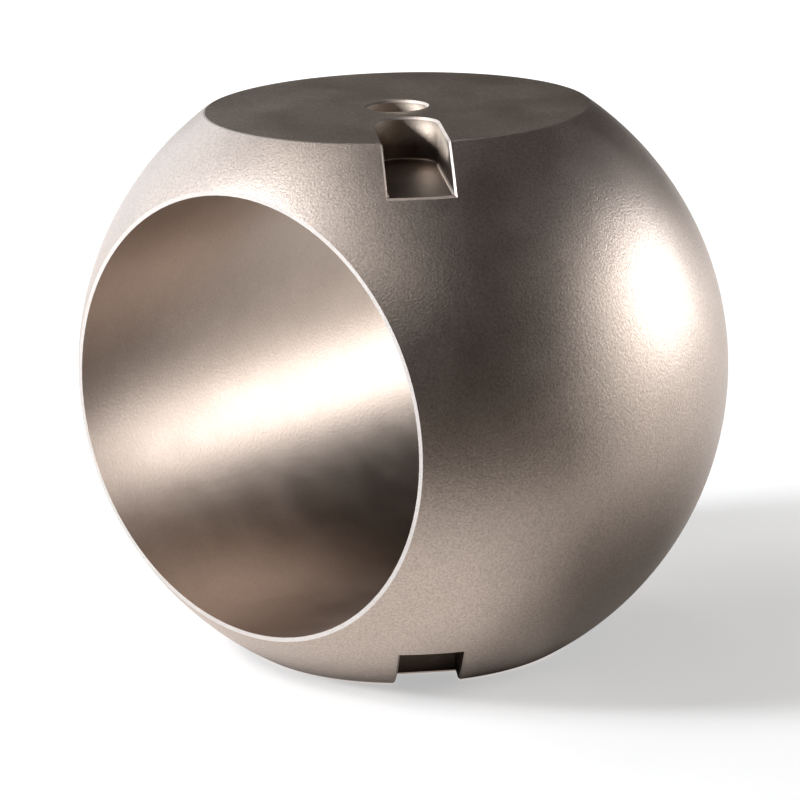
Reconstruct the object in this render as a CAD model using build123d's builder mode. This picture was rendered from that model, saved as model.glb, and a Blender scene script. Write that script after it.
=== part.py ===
from build123d import *
import os
from math import sqrt

# A full-bore valve ball, turned and milled from one solid blank. The origin is the
# centre of the sphere, +Z is the stem axis that the ball turns about, and the flow
# bore runs along Y. Sizes are in millimetres and angles in degrees.

# Ball and flow bore
ball_diameter = 152.0
bore_diameter = 101.0
rim_width = 1.0

# Wall left between the bore and each of the two flats, and the break on their edges
top_wall = 11.2
bottom_wall = 14.3
flat_edge_break = 0.25

# Pilot hole on the stem axis, from the top flat into the bore
pilot_diameter = 14.0

# Drive slot in the top flat: it starts beyond the pilot hole and runs out of one side.
# Its angle is measured about +Z, from the -Y mouth of the bore towards +X.
drive_azimuth = 45.0
slot_width = 14.5
slot_depth = 9.8
slot_land = 7.1
slot_root_radius = 0.6

# Locating notch in the edge of the bottom flat, straight below the drive slot
notch_width = 14.5
notch_height = 12.3
notch_reach = 6.1

# Break on the edges of the hole, the slot and the notch
edge_break = 0.5

ball_radius = ball_diameter / 2
bore_radius = bore_diameter / 2
rim_radius = bore_radius + rim_width
rim_height = sqrt(ball_radius**2 - rim_radius**2)
pilot_radius = pilot_diameter / 2
top_height = bore_radius + top_wall
bottom_height = bore_radius + bottom_wall
bottom_flat_radius = sqrt(ball_radius**2 - bottom_height**2)
slot_start = pilot_radius + slot_land
slot_end_centre = slot_start + slot_width / 2
slot_floor = top_height - slot_depth
notch_start = bottom_flat_radius - notch_reach
notch_ceiling = notch_height - bottom_height

# The cutters of the slot and the notch are drawn along +X and turned into place, and
# those of an edge break carry on past the edge by as much again
drive_turn = (0, 0, drive_azimuth - 90)
break_run = 2 * edge_break


def mouth_break(width, level, side):
    """What breaks the edge of a cut all along the round skin of the ball. The cut has two
    walls, and a floor at the given level that faces up (side 1) or down (side -1)."""
    wall_start = sqrt(ball_radius**2 - (width / 2) ** 2) - edge_break
    floor_edge = sqrt(ball_radius**2 - level**2)
    floor_start = floor_edge - edge_break
    # the floor's break slopes half as steeply as the skin does below the floor
    drop = side * break_run * floor_edge / (ball_radius + abs(level))
    with BuildPart() as cutter:
        # over the floor: the floor meets the skin in a circle about Z
        with BuildSketch(Plane.YZ):
            Polygon(
                (0, level),
                (-floor_start, level),
                (-floor_start - break_run, level - drop),
                (-floor_start - break_run, side * ball_radius),
                (0, side * ball_radius),
                align=None,
            )
        revolve(axis=Axis.Z, revolution_arc=180)
        # between the walls: each of them meets the skin in a circle about Y
        with BuildSketch(Plane.XY):
            Polygon(
                (wall_start, -width / 2),
                (wall_start + break_run, -width / 2 - break_run),
                (wall_start + break_run, width / 2 + break_run),
                (wall_start, width / 2),
                align=None,
            )
        revolve(axis=Axis.Y, mode=Mode.INTERSECT)
    return cutter.part


# What the drive slot takes away: a round inner end and a flat floor, with small radii
# where the floor meets the walls
with BuildPart() as slot_cut:
    with BuildSketch(Plane.XY.offset(top_height)) as slot_plan:
        with BuildLine():
            Polyline(
                (slot_end_centre, -slot_width / 2),
                (ball_radius, -slot_width / 2),
                (ball_radius, slot_width / 2),
                (slot_end_centre, slot_width / 2),
            )
            ThreePointArc(
                (slot_end_centre, slot_width / 2),
                (slot_start, 0),
                (slot_end_centre, -slot_width / 2),
            )
        make_face()
    extrude(amount=-slot_depth)
    fillet(slot_cut.edges().group_by(Axis.Z)[0], radius=slot_root_radius)

# The break on the slot's edge in the top flat
with BuildPart() as slot_flat_break:
    with BuildSketch(Plane.XY.offset(top_height - edge_break)):
        add(slot_plan.sketch)
    extrude(amount=break_run, taper=-45)

# What the locating notch takes away: square, with a flat end wall
with BuildPart() as notch_cut:
    with BuildSketch(Plane.XY.offset(-bottom_height)) as notch_plan:
        with Locations((notch_start, 0)):
            Rectangle(ball_radius, notch_width, align=(Align.MIN, Align.CENTER))
    extrude(amount=notch_height)

# The break on the notch's edge in the bottom flat
with BuildPart() as notch_flat_break:
    with BuildSketch(Plane.XY.offset(edge_break - bottom_height)):
        add(notch_plan.sketch)
    extrude(amount=-break_run, taper=-45)

with BuildPart() as valve_ball:
    # The blank: a bored sphere with a narrow faced rim round each mouth, turned
    # about the axis of the bore
    with BuildSketch(Plane.XY):
        with BuildLine():
            Polyline(
                (rim_radius, -rim_height),
                (bore_radius, -rim_height),
                (bore_radius, rim_height),
                (rim_radius, rim_height),
            )
            ThreePointArc(
                (rim_radius, rim_height),
                (ball_radius, 0),
                (rim_radius, -rim_height),
            )
        make_face()
    revolve(axis=Axis.Y)

    # The two flats, with their edges just broken
    split(bisect_by=Plane.XY.offset(top_height), keep=Keep.BOTTOM)
    split(bisect_by=Plane.XY.offset(-bottom_height), keep=Keep.TOP)
    chamfer(valve_ball.faces().filter_by(Plane.XY).edges(), length=flat_edge_break)

    # The slot and the notch, with the breaks along their edges
    for cutter in (
        slot_cut.part,
        slot_flat_break.part,
        mouth_break(slot_width, slot_floor, 1),
        notch_cut.part,
        notch_flat_break.part,
        mouth_break(notch_width, notch_ceiling, -1),
    ):
        add(cutter, rotation=drive_turn, mode=Mode.SUBTRACT)

    # The pilot hole
    with Locations((0, 0, top_height)):
        CounterSinkHole(
            radius=pilot_radius,
            counter_sink_radius=pilot_radius + edge_break,
            depth=top_height,
            counter_sink_angle=90,
        )

valve_ball.part.label = "valve_ball"
os.makedirs("parts", exist_ok=True)
export_step(valve_ball.part, "parts/valve_ball.step")
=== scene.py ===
import math

import bpy
import numpy as np
from mathutils import Matrix, Vector


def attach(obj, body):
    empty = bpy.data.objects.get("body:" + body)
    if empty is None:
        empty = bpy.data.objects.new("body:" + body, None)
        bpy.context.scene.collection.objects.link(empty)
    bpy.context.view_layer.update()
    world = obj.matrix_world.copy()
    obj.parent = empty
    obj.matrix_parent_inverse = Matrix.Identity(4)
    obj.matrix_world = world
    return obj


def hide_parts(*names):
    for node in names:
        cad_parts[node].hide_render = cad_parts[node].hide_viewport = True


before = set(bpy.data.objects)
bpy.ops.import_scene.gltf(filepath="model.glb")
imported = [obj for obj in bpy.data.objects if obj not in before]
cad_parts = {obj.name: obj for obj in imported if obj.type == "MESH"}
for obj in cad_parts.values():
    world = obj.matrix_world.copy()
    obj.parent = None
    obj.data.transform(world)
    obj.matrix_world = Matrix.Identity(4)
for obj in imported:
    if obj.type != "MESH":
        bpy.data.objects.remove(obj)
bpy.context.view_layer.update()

scene = bpy.context.scene
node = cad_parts["valve_ball"]

# Sizes of the ball, in metres. The bore runs along Y and the flats face up and down.
BALL_RADIUS = 0.076
BORE_RADIUS = 0.0505
RIM_WIDTH = 0.001
TOP_WALL = 0.0112
BOTTOM_WALL = 0.0143
PILOT_RADIUS = 0.007
SLOT_DEPTH = 0.0098
SLOT_ROOT_RADIUS = 0.0006

# Where the rims, the two flats and the floor of the drive slot lie
RIM = math.sqrt(BALL_RADIUS**2 - (BORE_RADIUS + RIM_WIDTH) ** 2)
TOP = BORE_RADIUS + TOP_WALL
BOTTOM = -BORE_RADIUS - BOTTOM_WALL
SLOT_FLOOR = TOP - SLOT_DEPTH

# A point nearer to a surface than NEAR is on it. MARGIN is added to the small radii, and
# the breaks along the edges go less deep than BREAK_DEPTH into the skin.
NEAR = 0.00002
MARGIN = 0.0001
BREAK_DEPTH = 0.0009

# The surfaces that get a finish of their own. LAND is the faced rim round each mouth.
SKIN, BORE, FACE, EDGE, POCKET, LAND = range(6)
SKIN_SPLITS = 2

# How far round the camera stands, in degrees from the bore's -Y mouth towards +X
VIEW = 40.0


def read_mesh(mesh):
    """The CAD mesh as welded points, triangles and the normals at their corners."""
    count = len(mesh.loops)
    points = np.zeros(len(mesh.vertices) * 3)
    corners = np.zeros(count, int)
    normals = np.zeros(count * 3)
    mesh.vertices.foreach_get("co", points)
    mesh.loops.foreach_get("vertex_index", corners)
    mesh.corner_normals.foreach_get("vector", normals)
    welded, place = np.unique(
        np.round(points.reshape(-1, 3), 7), axis=0, return_inverse=True
    )
    return welded, place.ravel()[corners].reshape(-1, 3), normals.reshape(-1, 3, 3)


def surface_of(corners):
    """The kind of surface that each triangle lies on, and its flat normal."""
    flat = np.cross(corners[:, 1] - corners[:, 0], corners[:, 2] - corners[:, 0])
    flat /= np.linalg.norm(flat, axis=1)[:, None]
    height = corners[:, :, 2]
    out = np.linalg.norm(corners, axis=2)
    off_bore = abs(np.hypot(corners[:, :, 0], height) - BORE_RADIUS)
    off_stem = np.hypot(corners[:, :, 0], corners[:, :, 1])
    kind = np.full(len(corners), EDGE)
    # the walls of the slot and the notch are upright, and their floor and ceiling level
    level = abs(flat[:, 2])
    kind[(level < 0.05) | (level > 0.98)] = POCKET
    kind[(off_stem < PILOT_RADIUS + MARGIN).all(axis=1)] = POCKET
    root = (height < SLOT_FLOOR + SLOT_ROOT_RADIUS + MARGIN) & (height > 0)
    root &= out < BALL_RADIUS - BREAK_DEPTH
    kind[root.all(axis=1)] = POCKET
    kind[(abs(height - TOP) < NEAR).all(axis=1)] = FACE
    kind[(abs(height - BOTTOM) < NEAR).all(axis=1)] = FACE
    kind[(abs(abs(corners[:, :, 1]) - RIM) < NEAR).all(axis=1)] = LAND
    kind[(abs(out - BALL_RADIUS) < NEAR).all(axis=1)] = SKIN
    kind[(off_bore < NEAR).all(axis=1)] = BORE
    return kind, flat


def split_inside(points, triangles, normals, inside):
    """Halves every edge that has an inside triangle on both of its sides, and sets the
    new points on the ball. The last value says which triangles came from inside ones."""
    points = list(points)
    owners = {}
    for t in np.flatnonzero(inside):
        for k in range(3):
            edge = tuple(sorted((triangles[t][k], triangles[t][(k + 1) % 3])))
            owners[edge] = owners.get(edge, 0) + 1
    middle = {}
    for (a, b), owned in owners.items():
        if owned == 2:
            point = points[a] + points[b]
            middle[(a, b)] = len(points)
            points.append(point * (BALL_RADIUS / np.linalg.norm(point)))
    made = []
    for t in np.flatnonzero(inside):
        corner = list(triangles[t])
        ring = []
        for k in range(3):
            ring.append(corner[k])
            half = middle.get(tuple(sorted((corner[k], corner[(k + 1) % 3]))))
            if half is not None:
                ring.append(half)
        if len(ring) == 6:
            made += [(ring[0], ring[1], ring[5]), (ring[1], ring[2], ring[3])]
            made += [(ring[3], ring[4], ring[5]), (ring[1], ring[3], ring[5])]
        else:
            # the corner with the shortest span across it is cut off first
            while len(ring) > 3:
                spans = [
                    np.linalg.norm(points[ring[i - 1]] - points[ring[(i + 1) % len(ring)]])
                    for i in range(len(ring))
                ]
                cut = int(np.argmin(spans))
                made.append((ring[cut - 1], ring[cut], ring[(cut + 1) % len(ring)]))
                del ring[cut]
            made.append(tuple(ring))
    made = np.array(made)
    points = np.array(points)
    made_normals = points[made] / np.linalg.norm(points[made], axis=2)[:, :, None]
    keep = ~inside
    return (
        points,
        np.concatenate([triangles[keep], made]),
        np.concatenate([normals[keep], made_normals]),
        np.concatenate([np.zeros(keep.sum(), bool), np.ones(len(made), bool)]),
    )


def ball_mesh(source):
    """The same form as the CAD node, with a finer skin, true normals on the round and
    flat surfaces, and a material slot for each kind of surface."""
    points, triangles, normals = read_mesh(source)
    kind, flat = surface_of(points[triangles])
    level = (kind == FACE) | (kind == LAND)
    normals[level] = flat[level][:, None, :]
    wall = kind == BORE
    inward = points[triangles][wall] * (-1, 0, -1)
    normals[wall] = inward / np.linalg.norm(inward, axis=2)[:, :, None]
    for _ in range(SKIN_SPLITS):
        skin = kind == SKIN
        points, triangles, normals, finer = split_inside(points, triangles, normals, skin)
        kind = np.concatenate([kind[~skin], np.full(finer.sum(), SKIN)])
    mesh = bpy.data.meshes.new("ball")
    mesh.from_pydata(points.tolist(), [], triangles.tolist())
    mesh.polygons.foreach_set("use_smooth", np.ones(len(triangles), bool))
    mesh.polygons.foreach_set("material_index", kind.astype(np.int32))
    mesh.normals_split_custom_set(normals.reshape(-1, 3).tolist())
    return mesh


# A noise keeps mostly between these two values
NOISE = (0.3, 0.7)


def noise(tree, place, scale, detail):
    """Soft noise over the place, with about scale waves to the metre."""
    texture = tree.nodes.new("ShaderNodeTexNoise")
    texture.inputs["Scale"].default_value = scale
    texture.inputs["Detail"].default_value = detail
    texture.inputs["Roughness"].default_value = 0.6
    tree.links.new(place, texture.inputs["Vector"])
    return texture.outputs["Fac"]


def mapped(tree, value, before, after):
    """The value, carried from the range before to the range after and kept inside it."""
    carry = tree.nodes.new("ShaderNodeMapRange")
    carry.inputs["From Min"].default_value = before[0]
    carry.inputs["From Max"].default_value = before[1]
    carry.inputs["To Min"].default_value = after[0]
    carry.inputs["To Max"].default_value = after[1]
    tree.links.new(value, carry.inputs["Value"])
    return carry.outputs["Result"]


def joined(tree, operation, first, second):
    """What a Math node makes of two values."""
    result = tree.nodes.new("ShaderNodeMath")
    result.operation = operation
    tree.links.new(first, result.inputs[0])
    tree.links.new(second, result.inputs[1])
    return result.outputs["Value"]


def metal(name, dark, pale, smooth, rough, grain, depth, speckle, blotch=90, painted_shade_heights=None):
    """Bare metal. The colour runs from dark to pale and the roughness from smooth to
    rough in soft blotches, about blotch of them to the metre. The grain is a fine bump,
    grain metres across and depth deep, and its pits are darker by the share speckle. Where
    the last argument gives two heights, the colour is painted shade: the metal turns from
    dark and smooth below to pale and rough above, between them."""
    material = bpy.data.materials.new(name)
    material.use_nodes = True
    tree = material.node_tree
    nodes, links = tree.nodes, tree.links
    shader = nodes["Principled BSDF"]
    shader.inputs["Metallic"].default_value = 1.0
    place = nodes.new("ShaderNodeTexCoord").outputs["Object"]
    fine = noise(tree, place, 1 / grain, 2.0)
    blotches_and_painted_shade = noise(tree, place, blotch, 5.0)
    # painted shade: between the two heights the colour darkens towards the bottom
    if painted_shade_heights:
        axes = nodes.new("ShaderNodeSeparateXYZ")
        links.new(place, axes.inputs["Vector"])
        blotches_and_painted_shade = joined(tree, "ADD", blotches_and_painted_shade, mapped(tree, axes.outputs["Z"], painted_shade_heights, (-0.3, 0.3)))

    colour = nodes.new("ShaderNodeMapRange")
    colour.data_type = "FLOAT_VECTOR"
    # the vector sockets for From Min, From Max, To Min and To Max
    ends = ([NOISE[0]] * 3, [NOISE[1]] * 3, dark, pale)
    for socket, end in zip(colour.inputs[7:11], ends):
        socket.default_value = end
    links.new(blotches_and_painted_shade, colour.inputs["Vector"])
    speckled = nodes.new("ShaderNodeVectorMath")
    speckled.operation = "SCALE"
    links.new(colour.outputs["Vector"], speckled.inputs["Vector"])
    pits = mapped(tree, fine, NOISE, (1 - speckle, 1 + speckle))
    links.new(pits, speckled.inputs["Scale"])
    links.new(speckled.outputs["Vector"], shader.inputs["Base Color"])

    gloss = mapped(tree, blotches_and_painted_shade, NOISE, (smooth, rough))
    links.new(gloss, shader.inputs["Roughness"])

    bump = nodes.new("ShaderNodeBump")
    bump.inputs["Distance"].default_value = depth
    links.new(fine, bump.inputs["Height"])
    links.new(bump.outputs["Normal"], shader.inputs["Normal"])
    return material


SKIN_PALE = (0.52, 0.426, 0.366)
mesh = ball_mesh(node.data)

# The finishes, in the order of the kinds of surface
finishes = (
    metal(
        "skin",
        dark=(0.48, 0.394, 0.338),
        pale=SKIN_PALE,
        smooth=0.38,
        rough=0.43,
        grain=0.00055,
        depth=0.00006,
        speckle=0.18,
    ),
    metal(
        "bore",
        dark=(0.43, 0.345, 0.29),
        pale=(0.48, 0.387, 0.327),
        smooth=0.35,
        rough=0.42,
        grain=0.0006,
        depth=0.00003,
        speckle=0.05,
    ),
    metal(
        "face",
        dark=(0.52, 0.42, 0.342),
        pale=(0.59, 0.477, 0.39),
        smooth=0.37,
        rough=0.42,
        grain=0.0005,
        depth=0.00003,
        speckle=0.25,
        blotch=60,
    ),
    metal(
        "edge",
        dark=SKIN_PALE,
        pale=(0.60, 0.51, 0.45),
        smooth=0.38,
        rough=0.44,
        grain=0.0005,
        depth=0.00003,
        speckle=0.06,
    ),
    # The pockets are darker than the skin and darker still towards the bottom in painted
    # shade, so the slot's floor, the notch and the pilot hole are dark and only the top of the
    # slot's walls is pale
    metal(
        "pocket",
        dark=(0.115, 0.083, 0.063),
        pale=(0.31, 0.257, 0.214),
        smooth=0.44,
        rough=0.54,
        grain=0.0005,
        depth=0.00004,
        speckle=0.06,
        painted_shade_heights=(TOP - 0.0085, TOP - 0.001),
    ),
    metal(
        "land",
        dark=(0.72, 0.66, 0.62),
        pale=(0.80, 0.74, 0.70),
        smooth=0.42,
        rough=0.50,
        grain=0.0005,
        depth=0.00003,
        speckle=0.06,
    ),
)
for finish in finishes:
    mesh.materials.append(finish)

ball = bpy.data.objects.new("ball", mesh)
scene.collection.objects.link(ball)
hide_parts("valve_ball")
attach(ball, "root")


def seen(tree):
    """1 for what the camera, a reflection or a clear part sees, and 0 for light that the
    surface throws on others."""
    path = tree.nodes.new("ShaderNodeLightPath")
    total = path.outputs["Is Camera Ray"]
    for name in ("Is Glossy Ray", "Is Transmission Ray"):
        total = joined(tree, "MAXIMUM", total, path.outputs[name])
    return total


def staged(name, points, faces):
    """A piece of the studio that isn't part of the object, and its material."""
    shape = bpy.data.meshes.new(name)
    shape.from_pydata(points, [], faces)
    piece = bpy.data.objects.new(name, shape)
    scene.collection.objects.link(piece)
    material = bpy.data.materials.new(name)
    material.use_nodes = True
    shape.materials.append(material)
    return piece, material


def dull(material, colour):
    """Makes a material matt, with no highlight at all."""
    shader = material.node_tree.nodes["Principled BSDF"]
    shader.inputs["Base Color"].default_value = (*colour, 1)
    shader.inputs["Roughness"].default_value = 1.0
    shader.inputs["Specular IOR Level"].default_value = 0.0
    return shader


def bearing(azimuth, elevation):
    """The direction at an azimuth to the right of the camera's, as seen from the ball."""
    a, e = math.radians(VIEW + azimuth), math.radians(elevation)
    return Vector((math.sin(a) * math.cos(e), -math.cos(a) * math.cos(e), math.sin(e)))


def ramp(value, low, high):
    """0 up to low, 1 from high on, and a straight rise between them."""
    return min(max((value - low) / (high - low), 0), 1)


# The floor is pale paper. It keeps its shadow, and what is seen of it is lifted to white,
# further away by more, so that it fades into the white room.
FLOOR_HALF = 6
FLOOR_COLOUR = (0.64, 0.61, 0.58)
FLOOR_LIFT = 0.46
FADE_START, FADE_END = 0.35, 1.3
sides = ((-1, -1), (1, -1), (1, 1), (-1, 1))
floor, paper = staged(
    "floor",
    [(FLOOR_HALF * x, FLOOR_HALF * y, BOTTOM) for x, y in sides],
    [(0, 1, 2, 3)],
)
shader = dull(paper, FLOOR_COLOUR)
shader.inputs["Emission Color"].default_value = (1, 1, 1, 1)
tree = paper.node_tree
reach = tree.nodes.new("ShaderNodeVectorMath")
reach.operation = "LENGTH"
place = tree.nodes.new("ShaderNodeTexCoord")
tree.links.new(place.outputs["Object"], reach.inputs[0])
fade = mapped(tree, reach.outputs["Value"], (FADE_START, FADE_END), (FLOOR_LIFT, 1))
lift = joined(tree, "MULTIPLY", seen(tree), fade)
tree.links.new(lift, shader.inputs["Emission Strength"])

# The dark walls of the studio are a dome, which the metal shows wherever no lamp stands.
# It starts just under the floor.
WALL_RADIUS = 4
WALL_STEP = 7.5
WALL_START = -2
AROUND, UP = 48, 12
points, faces = [], []
for i in range(UP + 1):
    for k in range(AROUND):
        way = bearing(k * WALL_STEP, i * WALL_STEP + WALL_START)
        points.append(tuple(way * WALL_RADIUS))
for i in range(UP):
    for k in range(AROUND):
        a, b = i * AROUND + k, i * AROUND + (k + 1) % AROUND
        faces.append((a, b, b + AROUND, a + AROUND))
walls, cloth = staged("walls", points, faces)
walls.visible_camera = False
dull(cloth, (0.105, 0.09, 0.077))

# A dark gauze lies on the floor under the ball, in front of it and to the right of it.
# Under the ball and to its right it is painted shadow, standing in for the ball's own
# shadow on the floor; in front of the ball it is a dark cloth. It thins out in steps too
# fine to see, and only the metal shows it.
SHADOW_COVER_STEP = 5
SHADOW_COVER_LIFT = 0.0005
reaches = [0.01 * k for k in range(1, 34)] + [0.4, 0.5, 0.8, 1.4, 2.6]
points, faces, cover_shade = [], [], []
for azimuth in range(-180, 181, SHADOW_COVER_STEP):
    for reach in reaches:
        way = bearing(azimuth, 0) * reach
        points.append((way.x, way.y, BOTTOM + SHADOW_COVER_LIFT))
        # how thick it is: painted shadow under the ball and to its right, dark cloth in front
        # of it
        painted_contact_shadow = 1 - ramp(reach - 0.008 * ramp(azimuth, 0, 30), 0.035, 0.05)
        front = ramp(reach, 0.10, 0.22) * (1 - ramp(azimuth, 50, 75)) * ramp(azimuth, -60, -40)
        painted_right_shadow = 0.75 * (1 - ramp(reach, 0.10, 0.18)) * ramp(azimuth, 15, 50)
        painted_right_shadow *= 1 - ramp(azimuth, 95, 125)
        cover_shade.append(max(painted_contact_shadow, front, painted_right_shadow))
row = len(reaches)
for k in range(360 // SHADOW_COVER_STEP):
    for i in range(row - 1):
        a = k * row + i
        faces.append((a, a + 1, a + row + 1, a + row))
cover, dark_cloth_and_painted_shadow = staged("cover", points, faces)
cover.visible_camera = False
cover.visible_shadow = False
shade = cover.data.attributes.new("shade", "FLOAT", "POINT")
shade.data.foreach_set("value", cover_shade)
shader = dull(dark_cloth_and_painted_shadow, (0.125, 0.103, 0.085))
thickness = dark_cloth_and_painted_shadow.node_tree.nodes.new("ShaderNodeAttribute")
thickness.attribute_name = "shade"
dark_cloth_and_painted_shadow.node_tree.links.new(thickness.outputs["Fac"], shader.inputs["Alpha"])

LAMP_DISTANCE = 1.8
BEAM_DISTANCE = 1.2
BEAM_AZIMUTH, BEAM_ELEVATION = -82, 24
BEAM_SOURCE = 0.001
BEAM_BLEND = 0.2
NEUTRAL = (1, 1, 1)
COOL = (0.92, 1.0, 1.09)
COOL_RIGHT = (0.94, 1.0, 1.06)
COOL_BEAM = (0.96, 1.0, 1.04)


def shine(name, data, target, way, distance):
    """Hangs a lamp at a distance from its target, facing it."""
    lamp = bpy.data.objects.new(name, data)
    scene.collection.objects.link(lamp)
    lamp.location = target + way * distance
    lamp.rotation_euler = way.to_track_quat("Z", "Y").to_euler()
    lamp.visible_camera = False
    return lamp


def softbox(name, azimuth, elevation, width, height, level, tint=NEUTRAL):
    """A lamp that faces the ball. Width and height are in degrees as seen from the ball,
    and level is how bright its face is, where 1 is white."""
    data = bpy.data.lights.new(name, "AREA")
    data.color = tint
    data.shape = "RECTANGLE"
    data.size = 2 * LAMP_DISTANCE * math.tan(math.radians(width / 2))
    data.size_y = 2 * LAMP_DISTANCE * math.tan(math.radians(height / 2))
    data.energy = math.pi * data.size * data.size_y * level
    shine(name, data, Vector(), bearing(azimuth, elevation), LAMP_DISTANCE)


def beam(name, target, reach, squash, level):
    """A narrow beam on a target. Reach is half the beam's width there, squash is its height
    over its width, and level is the light that falls on the target, where pi is white."""
    data = bpy.data.lights.new(name, "SPOT")
    data.color = COOL_BEAM
    data.shadow_soft_size = BEAM_SOURCE
    data.spot_size = 2 * math.atan(reach / BEAM_DISTANCE)
    data.spot_blend = BEAM_BLEND
    data.energy = level * 4 * math.pi * BEAM_DISTANCE**2
    way = bearing(BEAM_AZIMUTH, BEAM_ELEVATION)
    lamp = shine(name, data, Vector(target), way, BEAM_DISTANCE)
    lamp.scale = (1, squash, 1)


softbox("key", -82, 25.5, 8, 10, 90.0, COOL)
softbox("key_top", -80, 42, 16, 12, 23.0, COOL)
softbox("softbox_left", -134, 22, 58, 44, 1.6, COOL)
softbox("softbox_right", 109, 11.5, 29, 22, 5.8, COOL_RIGHT)
softbox("softbox_fill", 90, 12, 34, 28, 1.85)
softbox("softbox_high", -72, 65, 46, 10, 2.0)
softbox("softbox_front", -28, 47, 50, 14, 1.2)
softbox("softbox_back", -120, 60, 30, 16, 0.75)
softbox("softbox_lip", 180, 64, 14, 8, 3.5)

# Two beams from beside the key reach into the drive slot and the pilot hole
beam("beam_slot", (0.0249, -0.0147, 0.0585), 0.016, 0.18, 17.0)
beam("beam_hole", (0.0054, 0.0045, 0.0587), 0.0105, 0.2, 17.0)

# The camera stands in front of the drive slot, a little above the ball, and aims a little
# below the ball's centre. The frame is IMAGE pixels wide and high, FOCAL is the focal
# length in those pixels, and the ball's centre shows at BALL_PIXEL.
IMAGE = 800
FOCAL = 3284.12
BALL_PIXEL = (403.369, 364.788)
SENSOR = 36
DISTANCE = 10.1594 * BALL_RADIUS
TILT = math.radians(15.7209)
ROLL = math.radians(-1.5046)
camera_data = bpy.data.cameras.new("camera")
camera_data.sensor_width = SENSOR
camera_data.lens = FOCAL / IMAGE * SENSOR
camera = bpy.data.objects.new("camera", camera_data)
scene.collection.objects.link(camera)
scene.camera = camera
right = Vector((1, 0, 0))
down = Vector((0, -math.sin(TILT), -math.cos(TILT)))
forward = Vector((0, math.cos(TILT), -math.sin(TILT)))
rolled_right = math.cos(ROLL) * right - math.sin(ROLL) * down
rolled_down = math.sin(ROLL) * right + math.cos(ROLL) * down
across = (BALL_PIXEL[0] - IMAGE / 2) / FOCAL
below = (BALL_PIXEL[1] - IMAGE / 2) / FOCAL
to_ball = (rolled_right * across + rolled_down * below + forward).normalized()
basis = Matrix((rolled_right, -rolled_down, -forward)).transposed().to_4x4()
turn = Matrix.Rotation(math.radians(VIEW), 4, "Z")
camera.matrix_world = turn @ Matrix.Translation(-to_ball * DISTANCE) @ basis

# The room behind the floor is white to look at and dim as a light
ROOM_LIGHT = 0.3
world = bpy.data.worlds.new("studio")
scene.world = world
world.use_nodes = True
back = world.node_tree.nodes["Background"]
back.inputs["Color"].default_value = (1, 1, 1, 1)
strength = mapped(world.node_tree, seen(world.node_tree), (0, 1), (ROOM_LIGHT, 1))
world.node_tree.links.new(strength, back.inputs["Strength"])

scene.view_settings.view_transform = "Standard"
